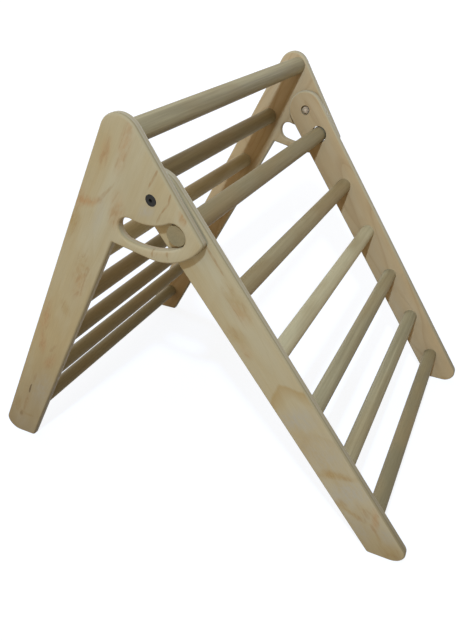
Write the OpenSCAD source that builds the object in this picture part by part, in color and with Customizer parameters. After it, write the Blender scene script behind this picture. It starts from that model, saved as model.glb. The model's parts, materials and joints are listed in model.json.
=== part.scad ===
// Folding climbing triangle for small children: two plywood side panels joined by seven
// dowel rungs lean one way, and a six-rung ladder hinged under their heads leans the other.
// Frame: +X points to the foot of the ladder, +Y to the left, +Z up; the floor is Z = 0.
// Every board is drawn flat as it stands from the right, X across and Z up the sheet.

/* [Overall] */
// Height of the top rung above the floor
top_h = 709; // [660:1:760]
// Width over the two side panels
overall_w = 620; // [560:5:680]
// Lean of the side panels' legs from upright, in degrees
leg_lean = 32; // [30:0.5:34]
// Lean of the ladder from upright, in degrees
ladder_lean = 33.4; // [31:0.2:36]

/* [Boards] */
// Thickness of the plywood
ply_t = 15; // [14:0.5:18]
// Width of each leg
leg_w = 76; // [70:1:84]
// Width of each ladder rail
rail_w = 77; // [70:1:84]
// Round-over on the edges of the boards
edge_r = 4; // [2:0.5:6]
// Radius of the outer corner of each foot
toe_r = 27; // [20:1:32]
// Radius of the inner corner of each foot
heel_r = 8; // [6:0.5:10]

/* [Rungs] */
// Diameter of the dowel rungs
rung_d = 32; // [28:1:34]
// Rungs in the rear climb
rear_rungs = 7; // [6:1:8]
// Lowest rear rung to the floor, along the leg
rear_step = 81.3; // [74:0.1:90]
// Rungs in the ladder, the stop rung among them
front_rungs = 6; // [5:1:7]
// Pivot to the second ladder rung, along the rail
front_first = 182.5; // [178:0.5:188]
// Lowest ladder rung to the floor, along the rail
front_step = 84.8; // [80:0.1:94]
// Depth of the blind sockets that hold the rungs
socket_h = 10; // [8:0.5:11]
// Glue gap round a rung in its socket
glue = 0.05; // [0.02:0.01:0.1]
// Easing of the ends of the rungs and bolts
ease = 1; // [0.5:0.5:1.5]
// Room behind the end of a rung in its socket
socket_room = 0.2; // [0.1:0.1:0.5]

/* [Head] */
// Pivot below the top rung, along the leg
pivot_down = 57; // [54:0.5:60]
// Pivot forward of the front edge of the leg
pivot_fore = 28.7; // [26:0.1:32]
// Lean of the front edge of the head from upright, in degrees
brow_lean = 29.9; // [28:0.1:32]
// Pivot to the front edge of the head
brow_d = 39.4; // [37:0.2:42]
// Radius over the top of the head
apex_r = 33; // [28:1:36]
// Radius of the lower edge of the head about the pivot
lip_r = 95; // [92:0.5:98]
// Radius of the front corner of the head
chin_r = 8; // [6:0.5:12]
// Top rung to the inner corner between head and leg, along the leg
nook_down = 167; // [162:1:172]

/* [Slot] */
// Pivot to the stop rung, along the rail
stop_d = 58; // [57.5:0.1:58.5]
// Width of the slot
slot_w = 37; // [36.5:0.1:37.5]
// Radius of the slot along its middle
slot_r = 102; // [100:1:106]
// Centre of that radius behind the pivot
slot_back = 12.9; // [12:0.1:14]
// Angle of the slot's rear end from straight down at that centre, in degrees
slot_rear_a = 19.4; // [18:0.2:20]
// Clearance between the stop rung and the end of the slot it rests against
stop_gap = 0.3; // [0.2:0.1:0.5]
// Play of the stop rung in its holes in the rails, on the radius
stop_play = 1.8; // [1:0.1:2]
// Stop rung short of the outer face of the panel
stop_inset = 3.5; // [1:0.5:5]

/* [Pivot] */
// Diameter of the pivot bolts
bolt_d = 8; // [8:1:10]
// Running clearance of the rail on the bolt, on the radius
run = 0.08; // [0.05:0.01:0.1]
// Clearance between flat faces that turn against each other
slide = 0.15; // [0.1:0.05:0.3]
// Space between panel and rail
side_gap = 2; // [1.5:0.25:3]
// Diameter of the spacer in that space
spacer_d = 24; // [20:1:30]
// Clearance round the bolt head in its recess
head_room = 0.3; // [0.2:0.1:0.5]
// Diameter of the bolt head
head_d = 17; // [15:0.5:20]
// Thickness of the bolt head
head_t = 1.6; // [1.2:0.1:2.2]
// Bolt head proud of the panel
head_proud = 0.6; // [0.4:0.1:1]
// Key size of the socket in the bolt head
key_af = 5; // [4:0.5:6]
// Depth of the key socket
key_h = 4; // [3:0.5:5]
// Diameter of the recess for the nut
recess_d = 20; // [19.5:0.5:24]
// Depth of the recess for the nut
recess_h = 9; // [8.5:0.5:9.5]
// Diameter of the washer under the nut
washer_d = 16; // [15:0.5:17]
// Thickness of the washer
washer_t = 1.6; // [1.2:0.2:2]
// Width of the nut across its flats
nut_af = 13; // [12:0.5:14]
// Height of the hexagon of the nut
nut_h = 5; // [4:0.5:5.5]
// Height of the locking collar on the nut
collar_h = 1.6; // [1:0.2:2]

/* [Hidden] */
$fa = 6;
$fs = 0.8;
plywood = "BurlyWood";
dowel = "Peru";
black_steel = "DimGray";
bright_steel = "Silver";
// Overrun of every cutting shape, facets of a rounded corner, and degrees between lip points
cut = 1;
round_steps = 4;
pebble_fn = 48;
lip_step = 8;
// The stop rung is the first of the ladder, so its even spacing starts at the second
second = 2;
half_w = overall_w / 2;
rung_r = rung_d / 2;
slot_half = slot_w / 2;
panel_in = half_w - ply_t;
rail_out = panel_in - side_gap;
rail_in = rail_out - ply_t;

// Directions on the sheet: down the leg, forward square to the leg, down the rail,
// rearward square to the rail, and square to the front edge of the head
leg_down = [-sin(leg_lean), -cos(leg_lean)];
leg_fore = [cos(leg_lean), -sin(leg_lean)];
rail_down = [sin(ladder_lean), -cos(ladder_lean)];
rail_back = [-cos(ladder_lean), -sin(ladder_lean)];
brow_out = [cos(brow_lean), sin(brow_lean)];

// The top rung stands over x = 0 first, and the whole is then moved to centre the feet
pivot_out = leg_w / 2 + pivot_fore;
pivot_z = top_h - pivot_down * cos(leg_lean) - pivot_out * sin(leg_lean);
pivot_x = pivot_out * cos(leg_lean) - pivot_down * sin(leg_lean);
rear_toe_x = -(top_h - toe_r) * tan(leg_lean) - (leg_w / 2 - toe_r) / cos(leg_lean);
front_toe_x = pivot_x + (pivot_z - toe_r) * tan(ladder_lean)
    + (rail_w / 2 - toe_r) / cos(ladder_lean);
shift_x = -(rear_toe_x + front_toe_x) / 2;
top = [shift_x, top_h];
pivot = [shift_x + pivot_x, pivot_z];

// Both climbs share the length that the height leaves them evenly between their rungs
rear_pitch = (top_h / cos(leg_lean) - rear_step) / (rear_rungs - 1);
front_pitch = (pivot_z / cos(ladder_lean) - front_first - front_step) / (front_rungs - second);

function on_leg(down, fore = 0) = top + down * leg_down + fore * leg_fore;
function on_rail(down, back = 0) = pivot + down * rail_down + back * rail_back;
function rung_at(i) = front_first + (i - second) * front_pitch;
function polar(r, a) = r * [cos(a), sin(a)];
function bearing(v) = atan2(v[1], v[0]);
// Point at distance d1 along n1 and d2 along n2, both unit vectors, from the origin
function meet(n1, d1, n2, d2) =
    [d1 * n2[1] - d2 * n1[1], n1[0] * d2 - n2[0] * d1] / (n1[0] * n2[1] - n1[1] * n2[0]);

rear_toe = [shift_x + rear_toe_x, toe_r];
rear_heel = [shift_x - (top_h - heel_r) * tan(leg_lean)
    + (leg_w / 2 - heel_r) / cos(leg_lean), heel_r];
front_toe = [shift_x + front_toe_x, toe_r];
front_heel = [pivot[0] + (pivot_z - heel_r) * tan(ladder_lean)
    - (rail_w / 2 - heel_r) / cos(ladder_lean), heel_r];

// Head: the apex circle touches the rear edge of the leg and the front edge of the head,
// and the lower edge leaves its arc on a tangent to the inner corner on the leg
apex = meet(brow_out, pivot * brow_out + brow_d - apex_r,
    leg_fore, top * leg_fore - leg_w / 2 + apex_r);
chin_a = brow_lean - acos((brow_d - chin_r) / (lip_r - chin_r));
nook = on_leg(nook_down, leg_w / 2);
nook_v = nook - pivot;
lip_a = bearing(nook_v) + acos(lip_r / norm(nook_v));
lip_steps = ceil((chin_a - lip_a) / lip_step);
lip_tail = nook + polar(leg_w / 3, lip_a - 90) - polar(chin_r, lip_a);

// Slot: an arc of even width whose front end lies just ahead of the stop rung, which rests
// against the rear of the wider holes in the rails
stop = on_rail(stop_d);
stop_hole = on_rail(stop_d, glue - stop_play);
slot_front = stop - [slot_half - rung_r - stop_gap, 0];
slot_x = pivot[0] - slot_back;
slot_c = [slot_x, slot_front[1] + sqrt(pow(slot_r, 2) - pow(slot_front[0] - slot_x, 2))];
slot_rear = slot_c + polar(slot_r, -90 - slot_rear_a);

// Heights along the pivot, outward from the inner face of the rail
face_h = ply_t + side_gap + ply_t;
washer_h = recess_h - slide - washer_t;
hex_h = washer_h - nut_h;
tip_h = hex_h - collar_h - slide;

// Round disc with its rim rounded over, the corner that the boards are hulled from
module pebble(at, r, turn = 0) {
    core_r = r - edge_r;
    rim = [for (i = [-round_steps:0]) [cos(i * 90 / round_steps), sin(i * 90 / round_steps)]];
    below = [for (p = rim) [core_r + edge_r * p[0], edge_r + edge_r * p[1]]];
    above = [for (p = below) [p[0], ply_t - p[1]]];
    translate([at[0], at[1], 0]) rotate([0, 0, turn])
        rotate_extrude($fn = pebble_fn)
            polygon(concat([[0, 0]], below, [for (i = [round_steps:-1:0]) above[i]], [[0, ply_t]]));
}

// Stands a sheet up with its underside at the given y, facing the middle of the frame
module stand(y) translate([0, y, 0]) rotate([90, 0, 0]) children();

// Holes through or into a sheet from its underside
module drill(at, r, h) translate([at[0], at[1], -cut]) cylinder(r = r, h = h + cut);

module slot_cut() {
    reach = slot_r + slot_w;
    linear_extrude(ply_t + 2 * cut) {
        translate(slot_front) circle(slot_half);
        translate(slot_rear) circle(slot_half);
        intersection() {
            translate(slot_c) difference() {
                circle(slot_r + slot_half);
                circle(slot_r - slot_half);
            }
            polygon([slot_c, slot_c + reach / slot_r * (slot_rear - slot_c),
                slot_c + reach / slot_r * (slot_front - slot_c)]);
        }
    }
}

module leg_board() hull() {
    pebble(apex, apex_r);
    pebble(on_leg(pivot_down, leg_w / 2 - heel_r), heel_r);
    pebble(rear_toe, toe_r);
    pebble(rear_heel, heel_r);
}

module head_board() hull() {
    pebble(apex, apex_r);
    for (i = [0:lip_steps]) {
        a = chin_a + (lip_a - chin_a) * i / lip_steps;
        pebble(pivot + polar(lip_r - chin_r, a), chin_r, a);
    }
    pebble(lip_tail, chin_r, lip_a);
}

module side_panel() color(plywood) stand(-panel_in) difference() {
    union() {
        leg_board();
        head_board();
    }
    for (i = [1:rear_rungs]) drill(on_leg((i - 1) * rear_pitch), rung_r + glue, socket_h);
    translate([0, 0, -cut]) slot_cut();
    drill(pivot, bolt_d / 2 + run, ply_t + cut);
    translate([0, 0, ply_t + head_proud - head_t + cut]) drill(pivot, head_d / 2 + head_room, head_t);
}

module ladder_rail() color(plywood) stand(-rail_in) difference() {
    hull() {
        pebble(pivot, rail_w / 2);
        pebble(front_toe, toe_r);
        pebble(front_heel, heel_r);
    }
    drill(stop_hole, rung_r + stop_play, ply_t + cut);
    for (i = [second:front_rungs]) drill(on_rail(rung_at(i)), rung_r + glue, socket_h);
    drill(pivot, bolt_d / 2 + run, ply_t + cut);
    drill(pivot, recess_d / 2, recess_h);
}

// Dowel across the frame at a point of the sheet, its ends eased
module rung(at, half_l) color(dowel) translate([at[0], 0, at[1]]) rotate([90, 0, 0])
    rotate_extrude() polygon([
        [0, -half_l], [rung_r - ease, -half_l], [rung_r, ease - half_l],
        [rung_r, half_l - ease], [rung_r - ease, half_l], [0, half_l]
    ]);

module rear_rung(i) rung(on_leg((i - 1) * rear_pitch), panel_in + socket_h - socket_room);
module ladder_rung(i) rung(on_rail(rung_at(i)), rail_in + socket_h - socket_room);
module stop_rung() rung(stop, half_w - stop_inset);

// Pivot hardware stands on the pivot axis, outward from the inner face of the right rail
module on_pivot() translate([pivot[0], -rail_in, pivot[1]]) rotate([90, 0, 0]) children();
module left() mirror([0, 1, 0]) children();
module ring(d, h, h0) translate([0, 0, h0]) difference() {
    cylinder(d = d, h = h);
    translate([0, 0, -cut]) cylinder(r = bolt_d / 2 + glue, h = h + 2 * cut);
}

module pivot_bolt() color(black_steel) on_pivot() difference() {
    rotate_extrude() polygon([
        [0, tip_h], [bolt_d / 2 - ease, tip_h], [bolt_d / 2, tip_h + ease],
        [bolt_d / 2, face_h + head_proud - head_t], [head_d / 2, face_h + head_proud - head_t],
        [head_d / 2, face_h], [head_d / 2 - head_proud, face_h + head_proud],
        [0, face_h + head_proud]
    ]);
    translate([0, 0, face_h + head_proud - key_h])
        cylinder(d = key_af / cos(30), h = key_h + cut, $fn = 6);
}

module pivot_spacer() color(bright_steel) on_pivot()
    ring(spacer_d, side_gap - slide, ply_t + slide);

module nut_washer() color(bright_steel) on_pivot() ring(washer_d, washer_t, washer_h);

module lock_nut() color(bright_steel) on_pivot() difference() {
    union() {
        translate([0, 0, hex_h]) cylinder(d = nut_af / cos(30), h = nut_h, $fn = 6);
        translate([0, 0, hex_h - collar_h]) cylinder(d = nut_af - 2 * ease, h = collar_h + cut);
    }
    translate([0, 0, hex_h - collar_h - cut])
        cylinder(r = bolt_d / 2 + glue, h = nut_h + collar_h + 2 * cut);
}

side_panel();  // side_panel_right
left() side_panel();  // side_panel_left
ladder_rail();  // ladder_rail_right
left() ladder_rail();  // ladder_rail_left
for (i = [1:rear_rungs]) rear_rung(i);
stop_rung();
for (i = [second:front_rungs]) ladder_rung(i);
pivot_bolt();  // pivot_bolt_right
left() pivot_bolt();  // pivot_bolt_left
pivot_spacer();  // pivot_spacer_right
left() pivot_spacer();  // pivot_spacer_left
nut_washer();  // nut_washer_right
left() nut_washer();  // nut_washer_left
lock_nut();  // lock_nut_right
left() lock_nut();  // lock_nut_left
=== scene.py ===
import json
import math

import bmesh
import bpy
import numpy as np
from mathutils import Euler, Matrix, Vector
from mathutils.geometry import tessellate_polygon


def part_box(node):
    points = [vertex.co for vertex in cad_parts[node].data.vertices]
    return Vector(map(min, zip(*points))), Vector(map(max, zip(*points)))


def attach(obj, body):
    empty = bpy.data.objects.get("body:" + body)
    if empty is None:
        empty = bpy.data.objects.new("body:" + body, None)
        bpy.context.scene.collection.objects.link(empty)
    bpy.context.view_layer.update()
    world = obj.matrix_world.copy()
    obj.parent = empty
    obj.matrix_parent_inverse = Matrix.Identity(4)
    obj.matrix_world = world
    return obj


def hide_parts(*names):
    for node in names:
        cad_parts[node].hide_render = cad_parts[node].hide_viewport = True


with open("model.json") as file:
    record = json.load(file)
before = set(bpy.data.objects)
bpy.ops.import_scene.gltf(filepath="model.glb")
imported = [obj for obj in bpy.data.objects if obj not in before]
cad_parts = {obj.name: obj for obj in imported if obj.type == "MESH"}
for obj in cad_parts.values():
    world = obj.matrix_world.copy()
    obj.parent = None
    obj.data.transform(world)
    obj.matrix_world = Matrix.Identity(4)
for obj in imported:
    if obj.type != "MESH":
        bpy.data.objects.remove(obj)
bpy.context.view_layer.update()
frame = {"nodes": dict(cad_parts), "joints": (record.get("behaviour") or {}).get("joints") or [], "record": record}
print("frame loaded:", len(frame["nodes"]), "nodes")

mm = 0.001
bodyOf = {node: body for body, nodes in frame["record"]["behaviour"]["bodies"].items() for node in nodes}


# camera
camera = {
    "place": (0.469711, -0.892182, 0.894110),
    "turn": (53.5924, -0.0688, 23.7776),
    "lens": 29.951,
    "sensor": 36,  # mm along the long side
    "shift": (-0.05786, 0.04695),
    "clip": (0.02, 60),
}


def makeCamera():
    data = bpy.data.cameras.new("camera")
    data.lens, data.sensor_width = camera["lens"], camera["sensor"]
    data.shift_x, data.shift_y = camera["shift"]
    data.clip_start, data.clip_end = camera["clip"]
    eye = bpy.data.objects.new("camera", data)
    eye.location = camera["place"]
    eye.rotation_euler = Euler([math.radians(a) for a in camera["turn"]], "XYZ")
    bpy.context.scene.collection.objects.link(eye)
    bpy.context.scene.camera = eye


makeCamera()
print("camera set")


# colours and nodes
def hexColour(code):
    srgb = np.array([int(code[i:i + 2], 16) for i in (1, 3, 5)]) / 255
    linear = np.where(srgb <= 0.04045, srgb / 12.92, ((srgb + 0.055) / 1.055) ** 2.4)
    return (*linear.tolist(), 1)


def grey(level):
    return (level, level, level, 1)


def addNode(tree, kind, settings={}, inputs={}):
    # an input takes a value, a socket, or a node, which stands for its first output
    node = tree.nodes.new("ShaderNode" + kind)
    for name, value in settings.items():
        setattr(node, name, value)
    for name, value in inputs.items():
        if isinstance(value, bpy.types.Node):
            value = value.outputs[0]
        if isinstance(value, bpy.types.NodeSocket):
            tree.links.new(value, node.inputs[name])
        else:
            node.inputs[name].default_value = value
    return node


def newMaterial(name):
    material = bpy.data.materials.new(name)
    material.use_nodes = True
    tree = material.node_tree
    tree.nodes.clear()
    return material, tree


def setRamp(node, stops):
    # each stop is a place with a hex colour or a grey level
    ramp = node.color_ramp
    while len(ramp.elements) < len(stops):
        ramp.elements.new(0.5)
    for element, (place, tone) in zip(ramp.elements, stops):
        element.position = place
        element.color = hexColour(tone) if isinstance(tone, str) else grey(tone)


# rotary-cut pine plywood, sanded and thinly oiled: broad pale faces with slow flame-shaped
# figure in tan and pink, faint lengthwise pores, and thin layers that show wherever an edge
# or a hole cuts through the sheet
plywood = {
    "cream": "#B1AA91",
    "tan": "#AB9C79",
    "tanFade": (0.36, 0.7),
    "amber": "#9F885C",
    "pink": "#AA8D68",
    "ash": "#A8A394",
    "late": "#957A56",
    "knot": "#54422E",
    "rose": "#AE916F",  # the sheet on the inner face
    "roseShare": 0.46,
    "roseLines": 0.4,
    "sheetMm": 15,
    "plies": (2.2, 4.6, 7.4, 10.4, 12.8),  # mm below the outer face
    "plyBlurMm": 0.35,
    # the first layer's tone is darker than the face and shows from almost no depth on, so it covers the rounded
    # edge: painted shade that takes out the rounding's highlight
    "layers": ("#A3997D", "#968D72", "#B2AD99", "#ADA690", "#B2AD99", "#A89F84"),
    "layerShow": (0.85, 0.15),  # on the sawn outline, in the sanded holes
    "arrisMm": (0.03, 0.5),  # depth over which an edge turns from face to layers
    # painted shade: the boards darken towards the floor, mostly on the outer face, and so do their cut edges low
    # down
    "paintedFootShade": "#857658",
    "footShadeInside": 0.2,
    "paintedEdgeShade": "#6C6149",
    "edgeShadeMm": (60, 400),
    "edgeShadeMost": 0.6,
    "driftMm": (330, 55),
    "driftDeep": 0.31,  # change per mm of depth, as in the next two patterns
    "contourMm": (420, 62),
    "contourDeep": 0.27,
    "contourTurns": 8,
    "contourRamp": ((0.0, 0.15), (0.08, 0.11), (0.4, 0.02), (0.8, 0.0), (1.0, 0.08)),
    "innerRamp": ((0.0, 1.0), (0.07, 0.8), (0.3, 0.1), (0.8, 0.0), (1.0, 0.3)),
    "flameStepMm": (5, 2),  # a flame starts this far before its place and is full this far after
    "flameLean": 13.0,  # mm along the grain for each mm of depth
    "wobbleMm": (70, 22),  # flames, lines and marks wander by up to half the reach
    "wobbleDeep": 0.2,
    "wobbleReachMm": (25, 10),
    "fleckMm": (14, 6),
    "lineMm": (120, 17),
    "lineTurns": 6,
    "lineRamp": ((0.0, 0.0), (0.06, 1.0), (0.16, 0.7), (0.42, 0.0), (1.0, 0.0)),
    "lineShow": 0.4,
    # share of an oval, from its rim inward, over which a mark rises to its full strength
    "markFull": {"ash": 1.0, "amber": 1.0, "pink": 1.0, "late": 0.5, "knot": 0.35},
    "poreMm": (40, 1.8),  # about three times coarser than real, to show
    "roughness": 0.56,
}

# figure of the two kinds of board, in mm and degrees: flames as places along the grain with
# strength and fade, and single marks as middle along and across, half length, half width,
# slant and strength
panelFigure = {
    # the last two numbers on the next line: how high the painted shade reaches up the feet, and how strong it is
    # at the floor
    "tanFrom": 120, "tanTo": 420, "tanGain": 0.14, "footShadeUp": 320, "footShadeMost": 0.95,
    "flameEvery": 1100, "flameSlope": 5.0, "flameRound": 14, "flameMiddle": (-12, 0.02),
    "flames": ((70, 0.14, 60), (330, 0.14, 70), (560, 0.14, 50), (800, 0.1, 60)),
    "ash": (
        (78, 68, 24, 15, -20, 0.7), (140, 3, 50, 12, 6, 0.5), (640, 16, 100, 34, 0, 0.8),
        (800, 4, 50, 50, 0, 0.7),
    ),
    "amber": (
        (180, -32, 42, 15, 4, 0.8), (258, 8, 70, 24, 4, 0.45), (365, 5, 34, 13, 25, 0.45),
        (738, -22, 44, 14, 8, 0.7), (752, 4, 30, 8, -66, 0.6),
    ),
    "pink": (
        (12, 5, 70, 13, 4, 0.6), (42, -18, 36, 11, 5, 0.6), (112, 27, 46, 20, 10, 0.55),
        (132, -20, 34, 11, -48, 0.8), (136, -33, 28, 12, 0, 0.7), (290, 12, 60, 16, 6, 0.4),
        (425, -25, 74, 14, 2, 0.75), (495, -14, 40, 12, 12, 0.8), (530, 12, 44, 14, -12, 0.85),
        (45, 117, 20, 9, 14, 0.8), (122, 108, 40, 16, -38, 0.22), (715, -6, 50, 9, 0, 0.5),
    ),
    "late": (
        (22, 58.5, 27, 2.4, -3, 0.7), (34, 89, 13, 2.2, 12, 0.6), (52, 88.8, 13, 2.2, -13, 0.7),
        (73, 87, 15, 2.2, 4, 0.35), (130, 100, 13, 2.2, 22, 0.6), (117, 122, 9, 2.2, 32, 0.5),
        (100, 2, 34, 3, -18, 0.35), (486, 9, 20, 4.5, -15, 0.35), (610, -6, 24, 3.6, 0, 0.35),
        (715, -6, 46, 4.5, 0, 0.4), (766, -8, 17, 5.5, 0, 0.9),
    ),
    "knot": ((655, -6.5, 19, 2.8, 2, 1.0), (768, -8, 9, 3.5, 0, 0.5)),
}
railFigure = {
    # the last two numbers on the next line: how high the painted shade reaches up the feet, and how strong it is
    # at the floor
    "tanFrom": 620, "tanTo": 740, "tanGain": 0.16, "footShadeUp": 120, "footShadeMost": 0.6,
    "flameEvery": 900, "flameSlope": 0.9, "flameRound": 5, "flameMiddle": (0, 0),
    "flames": ((60, 0.12, 40), (150, 0.15, 50), (332, 0.7, 36), (432, 0.34, 30), (760, 0.2, 30)),
    "ash": (
        (575, 0, 46, 90, 0, 0.9), (408, -4, 36, 60, 0, 0.85), (690, 24, 40, 24, 0, 0.7),
        (670, -24, 50, 20, 0, 0.5), (490, 0, 90, 80, 0, 0.6), (640, 0, 80, 80, 0, 0.5),
    ),
    "amber": (
        (185, 16, 52, 20, 0, 0.5), (235, -15, 34, 20, 20, 0.45), (526, -16, 16, 22, 0, 0.5),
        (535, 4, 50, 13, 66, 0.65), (602, -25, 22, 16, 0, 0.5), (625, -15, 46, 10, 35, 0.6),
        (622, 10, 30, 26, 0, 0.35), (730, 8, 36, 28, 0, 0.75), (686, 4, 30, 6, -8, 0.6),
    ),
    "pink": ((205, 12, 34, 18, 0, 0.35), (263, -18, 24, 12, 0, 0.35), (646, 20, 42, 11, -31, 0.8)),
    "late": ((112, 25.5, 35, 2.8, 1, 0.6), (665, 6, 18, 4, -8, 0.35)),
    "knot": (),
}


def sheetPlaces(tree):
    # mm along and across the grain: plain, with the depth as third, and with a wandering
    uv = addNode(tree, "UVMap", {"uv_map": "grain"})  # metres
    # mm below the outer face
    depth = addNode(tree, "Attribute", {"attribute_name": "plyDepth"}).outputs["Fac"]
    flat = addNode(tree, "VectorMath", {"operation": "SCALE"}, {0: uv, "Scale": 1 / mm})
    deep = addNode(tree, "CombineXYZ", {}, {2: depth})
    solid = addNode(tree, "VectorMath", {"operation": "ADD"}, {0: flat, 1: deep})
    p = plywood
    length, width = p["wobbleMm"]
    pace, reach = (1 / length, 1 / width, p["wobbleDeep"]), (*p["wobbleReachMm"], 0.0)
    at = addNode(tree, "VectorMath", {"operation": "MULTIPLY"}, {0: solid, 1: pace})
    noise = addNode(tree, "TexNoise", {}, {"Vector": at, "Scale": 1.0, "Detail": 4.0, "Roughness": 0.62})
    stir = noise.outputs["Color"]
    centred = addNode(tree, "VectorMath", {"operation": "SUBTRACT"}, {0: stir, 1: (0.5, 0.5, 0.5)})
    shift = addNode(tree, "VectorMath", {"operation": "MULTIPLY"}, {0: centred, 1: reach})
    place = addNode(tree, "VectorMath", {"operation": "ADD"}, {0: flat, 1: shift})
    return depth, flat, solid, place


def sheetGround(tree, figure, flat, solid):
    # broad drift between cream and tan, with more tan farther along; the left boards' places lie far along, so
    # they are full tan all over: painted shade for the far side
    p = plywood
    length, width = p["driftMm"]
    pace = (1 / length, 1 / width, p["driftDeep"])
    at = addNode(tree, "VectorMath", {"operation": "MULTIPLY"}, {0: solid, 1: pace})
    drift = addNode(
        tree, "TexNoise", {},
        {"Vector": at, "Scale": 1.0, "Detail": 3.0, "Roughness": 0.55, "Distortion": 0.3},
    )
    along = addNode(tree, "SeparateXYZ", {}, {0: flat})
    bias = addNode(
        tree, "MapRange", {},
        {0: along, 1: figure["tanFrom"], 2: figure["tanTo"], 3: 0.0, 4: figure["tanGain"]},
    )
    tanning = addNode(tree, "Math", {"operation": "ADD"}, {0: drift, 1: bias})
    ground = addNode(tree, "ValToRGB", {}, {0: tanning})
    setRamp(ground, list(zip(p["tanFade"], (p["cream"], p["tan"]))))
    return drift, ground


def contourRings(tree, solid):
    # a slow field counted in turns: each turn is one ring of growth
    p = plywood
    length, width = p["contourMm"]
    pace = (1 / length, 1 / width, p["contourDeep"])
    at = addNode(tree, "VectorMath", {"operation": "MULTIPLY"}, {0: solid, 1: pace})
    field = addNode(
        tree, "TexNoise", {},
        {"Vector": at, "Scale": 0.9, "Detail": 1.4, "Roughness": 0.45, "Distortion": 0.35},
    )
    turns = addNode(tree, "Math", {"operation": "MULTIPLY"}, {0: field, 1: p["contourTurns"]})
    return addNode(tree, "Math", {"operation": "FRACT"}, {0: turns})


def flames(tree, figure, depth, place):
    # how far along the grain, less a rounded V across it, on a ramp with a step for each flame
    p = plywood
    every = figure["flameEvery"]
    middleStart, middleLean = figure["flameMiddle"]
    parts = addNode(tree, "SeparateXYZ", {}, {0: place})
    middleAt = addNode(tree, "Math", {"operation": "MULTIPLY_ADD"}, {0: parts, 1: middleLean, 2: middleStart})
    off = addNode(tree, "Math", {"operation": "SUBTRACT"}, {0: parts.outputs[1], 1: middleAt})
    square = addNode(
        tree, "Math", {"operation": "MULTIPLY_ADD"}, {0: off, 1: off, 2: figure["flameRound"] ** 2},
    )
    vee = addNode(tree, "Math", {"operation": "SQRT"}, {0: square})
    drop = addNode(tree, "Math", {"operation": "MULTIPLY_ADD"}, {0: vee, 1: -figure["flameSlope"], 2: parts})
    inner = addNode(tree, "Math", {"operation": "MULTIPLY_ADD"}, {0: depth, 1: p["flameLean"], 2: drop})
    share = addNode(tree, "Math", {"operation": "DIVIDE"}, {0: inner, 1: every})
    turn = addNode(tree, "Math", {"operation": "FRACT"}, {0: share})
    flame = addNode(tree, "ValToRGB", {}, {0: turn})
    before, after = p["flameStepMm"]
    stops = [(0.0, 0.0)]
    for at, strength, fade in figure["flames"]:
        stops += [((at - before) / every, 0.0), ((at + after) / every, strength), ((at + fade) / every, 0.0)]
    setRamp(flame, stops)
    return flame


def lateLines(tree, place):
    # jagged lines of late wood that show inside the patches
    p = plywood
    length, width = p["lineMm"]
    at = addNode(tree, "VectorMath", {"operation": "MULTIPLY"}, {0: place, 1: (1 / length, 1 / width, 0.0)})
    field = addNode(tree, "TexNoise", {}, {"Vector": at, "Scale": 1.0, "Detail": 1.0, "Roughness": 0.5})
    turns = addNode(tree, "Math", {"operation": "MULTIPLY"}, {0: field, 1: p["lineTurns"]})
    turn = addNode(tree, "Math", {"operation": "FRACT"}, {0: turns})
    lines = addNode(tree, "ValToRGB", {}, {0: turn})
    setRamp(lines, p["lineRamp"])
    return lines


def markTotal(tree, marks, full, place):
    # soft ovals of one kind add up to a patch
    total = None
    for along, across, halfLength, halfWidth, slant, strength in marks:
        turn = (0, 0, math.radians(slant))
        oval = addNode(
            tree, "Mapping", {"vector_type": "TEXTURE"},
            {0: place, 1: (along, across, 0), 2: turn, 3: (halfLength, halfWidth, 1)},
        )
        glow = addNode(tree, "TexGradient", {"gradient_type": "SPHERICAL"}, {0: oval}).outputs["Fac"]
        amount = addNode(
            tree, "MapRange", {"interpolation_type": "SMOOTHSTEP"},
            {0: glow, 1: 0.0, 2: full, 3: 0.0, 4: strength},
        )
        total = addNode(tree, "Math", {"operation": "ADD"}, {0: total, 1: amount}) if total else amount
    return total


def outerMarks(tree, figure, colour, outer, solid, place):
    # marks on the outer face, flecked, with late wood in the amber and pink ones
    p = plywood
    length, width = p["fleckMm"]
    at = addNode(tree, "VectorMath", {"operation": "MULTIPLY"}, {0: solid, 1: (1 / length, 1 / width, 0.0)})
    fleck = addNode(tree, "TexNoise", {}, {"Vector": at, "Scale": 1.0, "Detail": 2.0, "Roughness": 0.6})
    patch = addNode(tree, "MapRange", {}, {0: fleck, 1: 0.35, 2: 0.6, 3: 0.45, 4: 1.15})
    flecked = addNode(tree, "Math", {"operation": "MULTIPLY"}, {0: patch, 1: outer})
    lines = lateLines(tree, place)
    clamped = {"operation": "MULTIPLY", "use_clamp": True}
    for kind, full in p["markFull"].items():
        total = markTotal(tree, figure[kind], full, place)
        if not total:
            continue
        shown = addNode(tree, "Math", clamped, {0: total, 1: outer if kind == "knot" else flecked})
        tint = hexColour(p[kind])
        colour = addNode(tree, "Mix", {"data_type": "RGBA"}, {0: shown, 6: colour, 7: tint}).outputs[2]
        if kind in ("amber", "pink"):
            within = addNode(tree, "MapRange", {}, {0: total, 1: 0.05, 2: 0.3, 3: 0.0, 4: p["lineShow"]})
            lined = addNode(tree, "Math", {"operation": "MULTIPLY"}, {0: within, 1: lines})
            shown = addNode(tree, "Math", clamped, {0: lined, 1: flecked})
            tint = hexColour(p["late"])
            colour = addNode(tree, "Mix", {"data_type": "RGBA"}, {0: shown, 6: colour, 7: tint}).outputs[2]
    return colour


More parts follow.
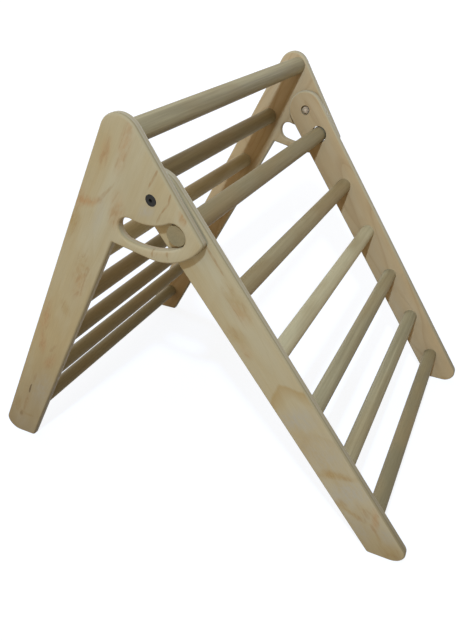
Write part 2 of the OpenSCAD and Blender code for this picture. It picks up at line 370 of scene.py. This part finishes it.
def innerSheet(tree, colour, outer, ring):
    # the sheet on the inner face is rosier, with long late wood lines all over
    p = plywood
    share = addNode(tree, "MapRange", {}, {0: outer, 1: 0.0, 2: 1.0, 3: p["roseShare"], 4: 0.0})
    tint = hexColour(p["rose"])
    colour = addNode(tree, "Mix", {"data_type": "RGBA"}, {0: share, 6: colour, 7: tint}).outputs[2]
    lines = addNode(tree, "ValToRGB", {}, {0: ring})
    setRamp(lines, p["innerRamp"])
    show = addNode(tree, "MapRange", {}, {0: outer, 1: 0.0, 2: 1.0, 3: p["roseLines"], 4: 0.0})
    lined = addNode(tree, "Math", {"operation": "MULTIPLY"}, {0: show, 1: lines})
    tint = hexColour(p["late"])
    return addNode(tree, "Mix", {"data_type": "RGBA"}, {0: lined, 6: colour, 7: tint}).outputs[2]


def edgeLayers(tree, face, depth):
    # layers by depth wherever the sheet is cut, and the mask of the cut
    p = plywood
    sheet, blur = p["sheetMm"], p["plyBlurMm"]
    share = addNode(tree, "Math", {"operation": "DIVIDE"}, {0: depth, 1: sheet})
    layer = addNode(tree, "ValToRGB", {}, {0: share})
    stops = []
    for at, above, below in zip(p["plies"], p["layers"], p["layers"][1:]):
        stops += [((at - blur) / sheet, above), ((at + blur) / sheet, below)]
    setRamp(layer, stops)
    # the cut starts almost at the face, so the first layer's darker tone lies on the rounded edge as painted shade
    near, far = p["arrisMm"]
    below = addNode(tree, "MapRange", {}, {0: depth, 1: near, 2: far, 3: 0.0, 4: 1.0})
    above = addNode(tree, "MapRange", {}, {0: depth, 1: sheet - far, 2: sheet - near, 3: 1.0, 4: 0.0})
    inside = addNode(tree, "Math", {"operation": "MULTIPLY"}, {0: below, 1: above})
    show = addNode(tree, "Attribute", {"attribute_name": "layerShow"}).outputs["Fac"]
    cut = addNode(tree, "Math", {"operation": "MULTIPLY"}, {0: inside, 1: show})
    return addNode(tree, "Mix", {"data_type": "RGBA"}, {0: cut, 6: face, 7: layer}).outputs[2], cut


def paintedLowShade(tree, figure, wood, outer, cut, drift):
    # painted shade, darker towards the floor: the feet, mostly outside, and the lower cut edges
    p = plywood
    body = addNode(tree, "TexCoord").outputs["Object"]
    height = addNode(tree, "SeparateXYZ", {}, {0: body}).outputs[2]
    low = addNode(
        tree, "MapRange", {}, {0: height, 1: 0.0, 2: figure["footShadeUp"] * mm, 3: figure["footShadeMost"], 4: 0.0},
    )
    patchy = addNode(tree, "MapRange", {}, {0: drift, 1: 0.3, 2: 0.7, 3: 0.7, 4: 1.1})
    outerMore = addNode(tree, "MapRange", {}, {0: outer, 1: 0.0, 2: 1.0, 3: p["footShadeInside"], 4: 1.0})
    shadeAmount = addNode(tree, "Math", {"operation": "MULTIPLY"}, {0: patchy, 1: outerMore})
    paintedFootShade = addNode(tree, "Math", {"operation": "MULTIPLY", "use_clamp": True}, {0: low, 1: shadeAmount})
    tint = hexColour(p["paintedFootShade"])
    footShaded = addNode(tree, "Mix", {"data_type": "RGBA"}, {0: paintedFootShade, 6: wood, 7: tint}).outputs[2]
    # painted shade on the cut edges, stronger low down
    start, end = p["edgeShadeMm"]
    edgeLow = addNode(
        tree, "MapRange", {}, {0: height, 1: start * mm, 2: end * mm, 3: p["edgeShadeMost"], 4: 0.0},
    )
    edge = addNode(tree, "Math", {"operation": "MULTIPLY"}, {0: edgeLow, 1: cut})
    tint = hexColour(p["paintedEdgeShade"])
    return addNode(tree, "Mix", {"data_type": "RGBA"}, {0: edge, 6: footShaded, 7: tint}).outputs[2]


def plywoodMaterial(name, figure):
    p = plywood
    material, tree = newMaterial(name)
    depth, flat, solid, place = sheetPlaces(tree)
    drift, ground = sheetGround(tree, figure, flat, solid)
    ring = contourRings(tree, solid)
    contour = addNode(tree, "ValToRGB", {}, {0: ring})
    setRamp(contour, p["contourRamp"])
    tanned = addNode(
        tree, "Math", {"operation": "MAXIMUM"}, {0: contour, 1: flames(tree, figure, depth, place)},
    )
    amber = hexColour(p["amber"])
    colour = addNode(tree, "Mix", {"data_type": "RGBA"}, {0: tanned, 6: ground, 7: amber}).outputs[2]
    outer = addNode(tree, "Math", {"operation": "LESS_THAN"}, {0: depth, 1: p["sheetMm"] / 2})
    colour = outerMarks(tree, figure, colour, outer, solid, place)
    colour = innerSheet(tree, colour, outer, ring)
    # pores: fine lengthwise dashes
    length, width = p["poreMm"]
    at = addNode(tree, "VectorMath", {"operation": "MULTIPLY"}, {0: solid, 1: (1 / length, 1 / width, 1.0)})
    pores = addNode(tree, "TexNoise", {}, {"Vector": at, "Scale": 1.0, "Detail": 2.0, "Roughness": 0.6})
    poreTone = addNode(tree, "MapRange", {}, {0: pores, 1: 0.3, 2: 0.7, 3: 0.965, 4: 1.03})
    face = addNode(tree, "VectorMath", {"operation": "SCALE"}, {0: colour, "Scale": poreTone})
    wood, cut = edgeLayers(tree, face, depth)
    final = paintedLowShade(tree, figure, wood, outer, cut, drift)
    matte = p["roughness"]
    rough = addNode(tree, "MapRange", {}, {0: pores, 1: 0.3, 2: 0.7, 3: matte + 0.08, 4: matte - 0.04})
    bump = addNode(tree, "Bump", {}, {"Height": pores, "Strength": 0.1, "Distance": 0.0003})
    shader = addNode(
        tree, "BsdfPrincipled", {},
        {"Base Color": final, "Roughness": rough, "Normal": bump, "IOR": 1.48, "Specular IOR Level": 0.12},
    )
    addNode(tree, "OutputMaterial", {}, {0: shader})
    return material


# hardwood dowel, turned and sanded: greyer and darker than the boards, faint streaks along the
# length, slow changes between grey and tan, and each rung cut from another stick
dowel = {
    "pale": "#B5AD8E",
    "mid": "#888065",
    "dark": "#746D54",
    "fade": (0.26, 0.5, 0.78),
    "tan": "#8C7B58",
    "streakMm": 7,
    "streakAlong": 3.2,  # changes per metre
    "blotchMm": (60, 190),
    "fibreMm": 1.8,
    "fibreAlong": 14,  # changes per metre
    "roughness": 0.6,
}


def dowelMaterial():
    p = dowel
    material, tree = newMaterial("turnedDowelSanded")
    place = addNode(tree, "TexCoord").outputs["Object"]
    tone = addNode(tree, "Attribute", {"attribute_name": "stickTone"}).outputs["Fac"]
    tan = addNode(tree, "Attribute", {"attribute_name": "stickTan"}).outputs["Fac"]
    # streaks between pale and dark, moved by the stick's own tone
    across, along = 1 / mm / p["streakMm"], p["streakAlong"]
    wide = addNode(tree, "VectorMath", {"operation": "MULTIPLY"}, {0: place, 1: (across, along, across)})
    streak = addNode(
        tree, "TexNoise", {},
        {"Vector": wide, "Scale": 0.6, "Detail": 2.5, "Roughness": 0.55, "Distortion": 0.2},
    )
    calm = addNode(tree, "MapRange", {"clamp": False}, {0: streak, 1: 0.0, 2: 1.0, 3: 0.24, 4: 0.76})
    shifted = addNode(tree, "Math", {"operation": "ADD"}, {0: calm, 1: tone})
    wood = addNode(tree, "ValToRGB", {}, {0: shifted})
    setRamp(wood, list(zip(p["fade"], (p["pale"], p["mid"], p["dark"]))))
    # tan blotches
    across, along = (1 / mm / size for size in p["blotchMm"])
    slow = addNode(tree, "VectorMath", {"operation": "MULTIPLY"}, {0: place, 1: (across, along, across)})
    blotch = addNode(tree, "TexNoise", {}, {"Vector": slow, "Scale": 1.0, "Detail": 2.0, "Roughness": 0.5})
    uneven = addNode(tree, "MapRange", {}, {0: blotch, 1: 0.42, 2: 0.66, 3: 0.0, 4: 0.6})
    tanned = addNode(tree, "Math", {"operation": "ADD", "use_clamp": True}, {0: uneven, 1: tan})
    tint = hexColour(p["tan"])
    stick = addNode(tree, "Mix", {"data_type": "RGBA"}, {0: tanned, 6: wood, 7: tint}).outputs[2]
    # fine fibre in tone, gloss and relief
    across, along = 1 / mm / p["fibreMm"], p["fibreAlong"]
    fine = addNode(tree, "VectorMath", {"operation": "MULTIPLY"}, {0: place, 1: (across, along, across)})
    fibre = addNode(tree, "TexNoise", {}, {"Vector": fine, "Scale": 1.0, "Detail": 2.0, "Roughness": 0.6})
    fibreTone = addNode(tree, "MapRange", {}, {0: fibre, 1: 0.3, 2: 0.7, 3: 0.93, 4: 1.05})
    colour = addNode(tree, "VectorMath", {"operation": "SCALE"}, {0: stick, "Scale": fibreTone})
    matte = p["roughness"]
    rough = addNode(tree, "MapRange", {}, {0: fibre, 1: 0.3, 2: 0.7, 3: matte + 0.08, 4: matte - 0.06})
    bump = addNode(tree, "Bump", {}, {"Height": fibre, "Strength": 0.18, "Distance": 0.0004})
    shader = addNode(
        tree, "BsdfPrincipled", {},
        {"Base Color": colour, "Roughness": rough, "Normal": bump, "IOR": 1.48, "Specular IOR Level": 0.3},
    )
    addNode(tree, "OutputMaterial", {}, {0: shader})
    return material


# zinc plate on steel, passivated: pale warm grey, faintly mottled
zincSteel = {
    "pale": "#BEAD96", "deep": "#9C8B75", "grainMm": 2.5,
    "roughness": 0.48, "metallic": 0.4, "specular": 0.5,
}
# black oxide steel, oiled: nearly black with a grey bloom and a soft sheen at the rim; only
# the head is blackened and the shank behind it stays bright
blackSteel = {
    "pale": "#262420", "deep": "#191816", "grainMm": 1.2,
    "roughness": 0.55, "metallic": 0.1, "specular": 0.25, "headFromMm": 300,
}


def metalMaterial(name, finish, shank=None):
    material, tree = newMaterial(name)
    place = addNode(tree, "TexCoord").outputs["Object"]
    mottle = addNode(
        tree, "TexNoise", {},
        {"Vector": place, "Scale": 1 / mm / finish["grainMm"], "Detail": 3.0, "Roughness": 0.6},
    )
    tint = addNode(tree, "ValToRGB", {}, {0: mottle})
    setRamp(tint, [(0.35, finish["deep"]), (0.65, finish["pale"])])
    if shank:
        parts = addNode(tree, "SeparateXYZ", {}, {0: place})
        out = addNode(tree, "Math", {"operation": "ABSOLUTE"}, {0: parts.outputs[1]})
        isHead = addNode(tree, "Math", {"operation": "GREATER_THAN"}, {0: out, 1: finish["headFromMm"] * mm})
        bright = hexColour(shank["pale"])
        tint = addNode(tree, "Mix", {"data_type": "RGBA"}, {0: isHead, 6: bright, 7: tint}).outputs[2]
    matte = finish["roughness"]
    rough = addNode(tree, "MapRange", {}, {0: mottle, 1: 0.3, 2: 0.7, 3: matte - 0.06, 4: matte + 0.1})
    gloss = {"Metallic": finish["metallic"], "Specular IOR Level": finish["specular"]}
    shader = addNode(tree, "BsdfPrincipled", {}, {"Base Color": tint, "Roughness": rough, **gloss})
    addNode(tree, "OutputMaterial", {}, {0: shader})
    return material


panelLook = plywoodMaterial("pinePlywoodPanel", panelFigure)
railLook = plywoodMaterial("pinePlywoodRail", railFigure)
dowelLook = dowelMaterial()
blackLook = metalMaterial("blackOxideSteel", blackSteel, zincSteel)
zincLook = metalMaterial("zincPlatedSteel", zincSteel)
print("materials made")


# shared shape helpers, all lengths in mm on the sheet: x across, z up
outlineStep = 1.5  # between points on an arc
sharpAngle = 32  # degrees from which an edge is shaded crisp


def unit(v):
    return v / np.linalg.norm(v)


def polar(angle):
    return np.array([math.cos(math.radians(angle)), math.sin(math.radians(angle))])


def lineMeet(p, d, q, e):
    # crossing of the line through p along d with the line through q along e
    s = np.linalg.solve(np.array([d, -e]).T, q - p)
    return p + s[0] * d


def arcPoints(centre, radius, first, last, inward=False):
    # circle of the radius about the centre from one angle to the other, with its outward normals
    count = max(3, int(abs(math.radians(last - first)) * radius / outlineStep) + 2)
    a = np.radians(np.linspace(first, last, count))
    n = np.stack([np.cos(a), np.sin(a)], 1)
    return centre + radius * n, -n if inward else n


def roundedOutline(corners):
    # closed path through the corners, anticlockwise, each corner replaced by the arc of its
    # radius that touches both straight sides; gives the points and their outward normals
    points, normals = [], []
    for i, (corner, radius) in enumerate(corners):
        before, after = corners[i - 1][0], corners[(i + 1) % len(corners)][0]
        d, e = unit(corner - before), unit(after - corner)
        turn = math.atan2(d[0] * e[1] - d[1] * e[0], d @ e)
        side = 1 if turn > 0 else -1
        start = corner - radius * abs(math.tan(turn / 2)) * d
        left = np.array([-d[1], d[0]])
        centre = start + side * radius * left
        first = math.degrees(math.atan2(*(-side * left)[::-1]))
        p, n = arcPoints(centre, radius, first, first + math.degrees(turn), side < 0)
        points.append(p)
        normals.append(n)
    return np.concatenate(points), np.concatenate(normals)


def edgeProfile(radius, thickness, steps):
    # quarter circles at both faces joined by a straight: rows of inset and depth
    a = np.linspace(0, math.pi / 2, steps + 1)
    quarter = np.stack([radius * (1 - np.sin(a)), radius * (1 - np.cos(a))], 1)
    return np.concatenate([quarter, (quarter * [1, -1] + [0, thickness])[::-1]])


def sweepRing(points, normals, profile):
    # every profile row moves the path in along its normals and down by the depth
    flat = points[None] - profile[:, None, :1] * normals[None]
    depth = np.broadcast_to(profile[:, None, 1:], (*flat.shape[:2], 1))
    return np.concatenate([flat, depth], 2)


def holeRing(centre, profile, count):
    # a profile of radius and depth turned about the hole's axis
    a = np.linspace(0, 2 * math.pi, count, endpoint=False)
    n = np.stack([np.cos(a), np.sin(a)], 1)
    flat = centre + profile[:, None, :1] * n[None]
    depth = np.broadcast_to(profile[:, None, 1:], (*flat.shape[:2], 1))
    return np.concatenate([flat, depth], 2)


def gridFaces(rows, columns, offset):
    # quads between neighbouring rows of a ring that closes on itself
    i, j = np.meshgrid(np.arange(rows - 1), np.arange(columns), indexing="ij")
    k = (j + 1) % columns
    quads = np.stack([i * columns + j, i * columns + k, (i + 1) * columns + k, (i + 1) * columns + j], -1)
    return (quads.reshape(-1, 4) + offset).tolist()


def capFaces(points, loops):
    # triangles over the flat face that the loops bound, the first loop being the outside
    order = np.concatenate(loops)
    flat = [np.pad(points[loop, :2], ((0, 0), (0, 1))).tolist() for loop in loops]
    return order[np.array(tessellate_polygon(flat))].tolist()


def finishPiece(name, mesh, look, node):
    piece = bpy.data.objects.new(name, mesh)
    bpy.context.scene.collection.objects.link(piece)
    mesh.materials.append(look)
    shape = bmesh.new()
    shape.from_mesh(mesh)
    bmesh.ops.recalc_face_normals(shape, faces=shape.faces)
    shape.to_mesh(mesh)
    shape.free()
    mesh.set_sharp_from_angle(angle=math.radians(sharpAngle))
    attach(piece, bodyOf[node])
    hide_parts(node)


def setPoints(mesh, attribute, values):
    mesh.attributes.new(attribute, "FLOAT", "POINT").data.foreach_set("value", values.astype(np.float32))


def boardMesh(name, rim, holes, outerY, hand, grainTop, grainDown, grainShift):
    # rim is the swept outline; each hole is a ring that may reach the outer face, the inner
    # face or both; flat caps close the two faces between them
    thickness = rim[-1, 0, 2]
    rings = [rim, *holes]
    offsets = np.cumsum([0] + [r.shape[0] * r.shape[1] for r in rings])
    points = np.concatenate([r.reshape(-1, 3) for r in rings])
    faces = [f for r, o in zip(rings, offsets) for f in gridFaces(r.shape[0], r.shape[1], o)]
    smooth = len(faces)
    for level in (0.0, thickness):
        loops = []
        for r, o in zip(rings, offsets):
            for row in (0, r.shape[0] - 1):
                if np.isclose(r[row, 0, 2], level):
                    loops.append(o + row * r.shape[1] + np.arange(r.shape[1]))
        faces += capFaces(points, loops)
    for r, o in zip(holes, offsets[1:]):
        if 0 < r[-1, 0, 2] < thickness:  # a blind hole gets its floor
            faces.append((o + (r.shape[0] - 1) * r.shape[1] + np.arange(r.shape[1])).tolist())
    mesh = bpy.data.meshes.new(name)
    y = hand * (outerY - points[:, 2])
    mesh.from_pydata((np.stack([points[:, 0], y, points[:, 1]], 1) * mm).tolist(), [], faces)
    mesh.polygons.foreach_set("use_smooth", np.arange(len(faces)) < smooth)
    setPoints(mesh, "plyDepth", points[:, 2])
    # sanded hole edges show the layers less than the sawn outline
    setPoints(mesh, "layerShow", np.where(np.arange(len(points)) < offsets[1], *plywood["layerShow"]))
    fore = np.array([-grainDown[1], grainDown[0]])
    away = points[:, :2] - grainTop
    grain = np.stack([away @ grainDown, away @ fore], 1) * mm + grainShift
    corner = np.zeros(len(mesh.loops), np.int32)
    mesh.loops.foreach_get("vertex_index", corner)
    mesh.uv_layers.new(name="grain").data.foreach_set("uv", grain[corner].astype(np.float32).ravel())
    return mesh


def middle(node):
    low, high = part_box(node)
    return np.array([(low.x + high.x) / 2, (low.z + high.z) / 2]) / mm


def sheetOf(node):
    # thickness of a board and distance of its outer face from the middle plane
    low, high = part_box(node)
    return round((high.y - low.y) / mm, 3), max(abs(low.y), abs(high.y)) / mm


# places shared by the boards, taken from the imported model
pivot = np.array(frame["joints"][0]["pos_m"])[[0, 2]] / mm
topRung, stopRung = middle("rear_rung_1"), middle("stop_rung")
rearRungs = [middle(f"rear_rung_{i}") for i in range(1, 8)]
ladderRungs = [middle(f"ladder_rung_{i}") for i in range(2, 7)]
rungRadius = (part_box("stop_rung")[1].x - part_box("stop_rung")[0].x) / 2 / mm
legDown = unit(rearRungs[-1] - topRung)
legFore = np.array([-legDown[1], legDown[0]])
railDown = unit(ladderRungs[-1] - pivot)
railBack = np.array([railDown[1], -railDown[0]])
floorPoint, floorDir = np.zeros(2), np.array([1.0, 0.0])

# what both kinds of board share
board = {
    "edge": 4.0, "edgeSteps": 8, "toe": 27, "heel": 8, "boltHole": 4.08, "boltSides": 48,
    "socketDeep": 10, "socketSides": 64, "glue": 0.05,
}


def socketRings(centres, thickness):
    # blind holes in the inner face, a glue gap wider than the rungs
    radius = rungRadius + board["glue"]
    profile = np.array([[radius, thickness], [radius, thickness - board["socketDeep"]]])
    return [holeRing(c, profile, board["socketSides"]) for c in centres]


panel = {
    "legWidth": 76, "nook": 1.0, "nookDown": 167, "apex": 33, "chin": 8, "lip": 95,
    "browLean": 29.9, "browFromPivot": 39.4,
    "slotRadius": 102, "slotHalf": 18.5, "slotBack": 12.9, "slotRear": 19.4,
    "slotEase": 3.5, "slotSteps": 4, "stopGap": 0.3,
    "headRecess": (8.8, 1.0),  # radius and depth
    # the left board's shift gives it other figure and puts it in full tan: painted shade for the far side
    "grainShift": {"right": (0.0, 0.0), "left": (2.5, 0.0)},
}


def panelOutline():
    # leg between two parallel edges, brow at its lean, and the lip as an arc about the pivot
    p = panel
    brow = polar(p["browLean"])
    along = np.array([-brow[1], brow[0]])
    browPoint = pivot + p["browFromPivot"] * brow
    rearEdge, foreEdge = topRung - p["legWidth"] / 2 * legFore, topRung + p["legWidth"] / 2 * legFore
    nook = foreEdge + p["nookDown"] * legDown
    out = nook - pivot
    lipEnd = math.degrees(math.atan2(out[1], out[0]) + math.acos(p["lip"] / np.linalg.norm(out)))
    reach = (p["browFromPivot"] - p["chin"]) / (p["lip"] - p["chin"])
    chinAngle = p["browLean"] - math.degrees(math.acos(reach))
    chinPoint = pivot + p["lip"] * polar(chinAngle)
    chinLine = polar(chinAngle + 90)
    return roundedOutline([
        (lineMeet(rearEdge, legDown, floorPoint, floorDir), board["toe"]),
        (lineMeet(foreEdge, legDown, floorPoint, floorDir), board["heel"]),
        (nook, p["nook"]),
        (lineMeet(nook, polar(lipEnd + 90), chinPoint, chinLine), p["lip"]),
        (lineMeet(chinPoint, chinLine, browPoint, along), p["chin"]),
        (lineMeet(browPoint, along, rearEdge, legDown), p["apex"]),
    ])


def slotOutline():
    # even band about an arc, closed by half circles; the normals point into the opening
    p = panel
    half, radius = p["slotHalf"], p["slotRadius"]
    front = stopRung - (half - rungRadius - p["stopGap"]) * floorDir
    x = pivot[0] - p["slotBack"]
    centre = np.array([x, front[1] + math.sqrt(radius ** 2 - (front[0] - x) ** 2)])
    a = math.degrees(math.atan2(*(front - centre)[::-1]))
    b = -90 - p["slotRear"]
    rear = centre + radius * polar(b)
    parts = [
        arcPoints(centre, radius + half, b, a, True),
        arcPoints(front, half, a, a + 180, True),
        arcPoints(centre, radius - half, a, b),
        arcPoints(rear, half, b + 180, b + 360, True),
    ]
    points = np.concatenate([q[1:] for q, n in parts])
    normals = np.concatenate([n[1:] for q, n in parts])
    return points, normals


def makePanel(hand, handName):
    p = panel
    node, name = f"side_panel_{handName}", f"sidePanel_{handName}"
    thickness, outerY = sheetOf(node)
    rim = sweepRing(*panelOutline(), edgeProfile(board["edge"], thickness, board["edgeSteps"]))
    slot = sweepRing(*slotOutline(), edgeProfile(p["slotEase"], thickness, p["slotSteps"]))
    wide, deep = p["headRecess"]
    bore = board["boltHole"]
    head = np.array([[wide, 0], [wide, deep], [bore, deep], [bore, thickness]])
    holes = [slot, holeRing(pivot, head, board["boltSides"]), *socketRings(rearRungs, thickness)]
    mesh = boardMesh(name, rim, holes, outerY, hand, topRung, legDown, p["grainShift"][handName])
    finishPiece(name, mesh, panelLook, node)


rail = {
    "width": 77, "stopPlay": 1.8,
    "nutRecess": (10.0, 9.0),  # radius and depth
    "roundShort": 1e-4,  # keeps a straight between the two quarter rounds of the top
    # the left board's shift gives it other figure and puts it in full tan: painted shade for the far side
    "grainShift": {"right": (0.0, 0.0), "left": (3.0, 0.0)},
}


def railOutline():
    # two parallel edges, cut by the floor below and closed by a full round about the pivot
    half = rail["width"] / 2
    fore, back = pivot - half * railBack, pivot + half * railBack
    lift = -half * railDown
    top = half - rail["roundShort"]
    return roundedOutline([
        (lineMeet(back, railDown, floorPoint, floorDir), board["heel"]),
        (lineMeet(fore, railDown, floorPoint, floorDir), board["toe"]),
        (fore + lift, top),
        (back + lift, top),
    ])


def makeRail(hand, handName):
    p = rail
    node, name = f"ladder_rail_{handName}", f"ladderRail_{handName}"
    thickness, outerY = sheetOf(node)
    rim = sweepRing(*railOutline(), edgeProfile(board["edge"], thickness, board["edgeSteps"]))
    wide, deep = p["nutRecess"]
    bore = board["boltHole"]
    nut = np.array([[bore, 0], [bore, thickness - deep], [wide, thickness - deep], [wide, thickness]])
    loose = rungRadius + p["stopPlay"]
    through = np.array([[loose, 0], [loose, thickness]])
    stopHole = stopRung + (board["glue"] - p["stopPlay"]) * railBack
    holes = [holeRing(pivot, nut, board["boltSides"]), holeRing(stopHole, through, board["socketSides"])]
    holes += socketRings(ladderRungs, thickness)
    mesh = boardMesh(name, rim, holes, outerY, hand, pivot, railDown, p["grainShift"][handName])
    finishPiece(name, mesh, railLook, node)


for hand, handName in ((-1, "right"), (1, "left")):
    makePanel(hand, handName)
    makeRail(hand, handName)
print("boards made")

rungs = {
    "ease": 1.0, "tip": 0.01, "sides": 72, "rows": 13, "endTone": 0.1, "endTan": -0.5,
    "stick": {
        "rear_rung_1": (-0.09, -0.3), "rear_rung_2": (0.0, 0.05), "rear_rung_3": (-0.66, 0.12),
        "rear_rung_4": (0.08, 0.1), "rear_rung_5": (0.1, 0.1), "rear_rung_6": (0.05, 0.1),
        "rear_rung_7": (0.1, 0.0), "stop_rung": (0.02, 0.35), "ladder_rung_2": (-0.09, 0.45),
        "ladder_rung_3": (-0.27, -0.1), "ladder_rung_4": (-0.03, 0.0), "ladder_rung_5": (-0.04, 0.0),
        "ladder_rung_6": (0.32, 0.2),
    },  # each stick's darkness and tan
}


def makeRung(node):
    # radius against length, turned about the rung's own axis; the chamfered ends close on a tiny disc
    r = rungs
    half, radius, ease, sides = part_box(node)[1].y / mm, rungRadius, r["ease"], r["sides"]
    body = np.stack([np.full(r["rows"], radius), np.linspace(ease - half, half - ease, r["rows"])], 1)
    start, end = [[r["tip"], -half], [radius - ease, -half]], [[radius - ease, half], [r["tip"], half]]
    grid = holeRing(middle(node), np.concatenate([start, body, end]), sides)
    points = grid.reshape(-1, 3)
    faces = gridFaces(grid.shape[0], sides, 0)
    faces += [list(range(sides)), list(range(len(points) - sides, len(points)))]
    mesh = bpy.data.meshes.new(node)
    mesh.from_pydata((points[:, [0, 2, 1]] * mm).tolist(), [], faces)
    mesh.polygons.foreach_set("use_smooth", np.ones(len(faces), bool))
    atEnd = np.abs(points[:, 2]) > half - ease / 2
    tone, tan = r["stick"][node]
    setPoints(mesh, "stickTone", tone + r["endTone"] * atEnd)
    setPoints(mesh, "stickTan", tan + r["endTan"] * atEnd)
    finishPiece(node.replace("rung", "dowel"), mesh, dowelLook, node)


for node in rungs["stick"]:
    makeRung(node)
print("rungs made")

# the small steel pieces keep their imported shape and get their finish
hardware = {"pivot_bolt": blackLook, "pivot_spacer": zincLook, "nut_washer": zincLook, "lock_nut": zincLook}
for node, piece in frame["nodes"].items():
    for start, look in hardware.items():
        if node.startswith(start):
            piece.data.materials.clear()
            piece.data.materials.append(look)
print("hardware finished")

# floor, lamps and room: a near lamp above the camera draws the shadows, a weak one stands square
# to the near boards, the far and back ones keep the other sides from going dark, and the floor
# returns a little warm light
stage = {
    "floor": "#6F7C95", "floorWarm": "#93805F", "floorReach": 40.0,
    "floorLift": (0.86, 0.955), "floorLiftM": (1.2, 4.0),
    "keyAt": (0.42, -1.0, 1.46), "keyRadius": 0.035, "keyLevel": 0.82, "keyTint": "#CDE6FF",
    "sideFrom": (0.0, -1.0, 0.05), "sideLevel": 0.21, "sideAngle": 9.0, "sideTint": "#FFF8EE",
    "farFrom": (0.0, 1.0, 0.05), "farLevel": 0.42, "farAngle": 6.0, "farTint": "#DDECFF",
    "backFrom": (-1.0, 0.25, 0.25), "backLevel": 0.42, "backAngle": 12.0, "backTint": "#E2EFFF",
    "sunAway": 3.0,
    "fill": 0.575, "fillTint": "#FFE6C2", "fillLean": (-0.3, 0.0, 0.0),
}


def addLamp(name, kind, energy):
    data = bpy.data.lights.new(name, kind)
    data.energy, data.color = energy, hexColour(stage[name + "Tint"])[:3]
    lamp = bpy.data.objects.new(name, data)
    bpy.context.scene.collection.objects.link(lamp)
    return lamp


def addSun(name):
    # a white surface square to the lamp shows the level
    s = stage
    lamp = addLamp(name, "SUN", s[name + "Level"] * math.pi)
    lamp.data.angle = math.radians(s[name + "Angle"])
    aim = unit(np.array(s[name + "From"]))
    lamp.rotation_euler = (math.acos(aim[2]), 0, math.atan2(aim[0], -aim[1]))
    lamp.location = (aim * s["sunAway"]).tolist()


def addKey():
    # a near lamp that keeps its strength with distance, so only its direction changes; a white
    # surface square to it shows the level
    s = stage
    lamp = addLamp("key", "POINT", s["keyLevel"] * 4 * math.pi ** 2)
    lamp.data.shadow_soft_size = s["keyRadius"]
    lamp.location = s["keyAt"]
    lamp.visible_camera = False
    lamp.data.use_nodes = True
    tree = lamp.data.node_tree
    tree.nodes.clear()
    even = addNode(tree, "LightFalloff", {}, {"Strength": 1.0}).outputs["Constant"]
    glow = addNode(tree, "Emission", {}, {"Strength": even})
    addNode(tree, "OutputLight", {}, {0: glow})


def seenDirectly(tree):
    # by the camera, in a reflection or through something clear
    path = addNode(tree, "LightPath").outputs
    seen = path["Is Camera Ray"]
    for other in ("Is Glossy Ray", "Is Transmission Ray"):
        seen = addNode(tree, "Math", {"operation": "MAXIMUM"}, {0: seen, 1: path[other]})
    return seen


def makeFloor():
    s = stage
    mesh = bpy.data.meshes.new("floor")
    r = s["floorReach"]
    mesh.from_pydata([(-r, -r, 0), (r, -r, 0), (r, r, 0), (-r, r, 0)], [], [(0, 1, 2, 3)])
    floor = bpy.data.objects.new("floor", mesh)
    bpy.context.scene.collection.objects.link(floor)
    material, tree = newMaterial("paleFloor")
    warm = addNode(tree, "BsdfDiffuse", {}, {"Color": hexColour(s["floorWarm"])})
    matte = addNode(tree, "BsdfDiffuse", {}, {"Color": hexColour(s["floor"])})
    # far from the object the floor lifts to the white of the room, so no horizon shows
    place = addNode(tree, "NewGeometry").outputs["Position"]
    away = addNode(tree, "VectorMath", {"operation": "LENGTH"}, {0: place}).outputs["Value"]
    (near, far), (low, high) = s["floorLiftM"], s["floorLift"]
    lift = addNode(tree, "MapRange", {}, {0: away, 1: near, 2: far, 3: low, 4: high})
    glow = addNode(tree, "Emission", {}, {"Color": grey(1.0), "Strength": lift})
    pale = addNode(tree, "AddShader", {}, {0: matte, 1: glow})
    both = addNode(tree, "MixShader", {}, {0: seenDirectly(tree), 1: warm, 2: pale})
    addNode(tree, "OutputMaterial", {}, {0: both})
    mesh.materials.append(material)


def makeRoom():
    # the fill is a little stronger from behind the object than from the front
    s = stage
    world = bpy.data.worlds.new("room")
    bpy.context.scene.world = world
    world.use_nodes = True
    tree = world.node_tree
    tree.nodes.clear()
    toward = addNode(tree, "TexCoord").outputs["Generated"]
    dot = addNode(tree, "VectorMath", {"operation": "DOT_PRODUCT"}, {0: toward, 1: s["fillLean"]})
    lean = dot.outputs["Value"]
    level = addNode(tree, "Math", {"operation": "MULTIPLY_ADD"}, {0: lean, 1: s["fill"], 2: s["fill"]})
    fill = addNode(tree, "Background", {}, {"Color": hexColour(s["fillTint"]), "Strength": level})
    white = addNode(tree, "Background", {}, {"Color": grey(1.0), "Strength": 1.0})
    both = addNode(tree, "MixShader", {}, {0: seenDirectly(tree), 1: fill, 2: white})
    addNode(tree, "OutputWorld", {}, {0: both})


makeFloor()
addKey()
for name in ("side", "far", "back"):
    addSun(name)
makeRoom()
bpy.context.scene.view_settings.view_transform = "Standard"
print("stage set")
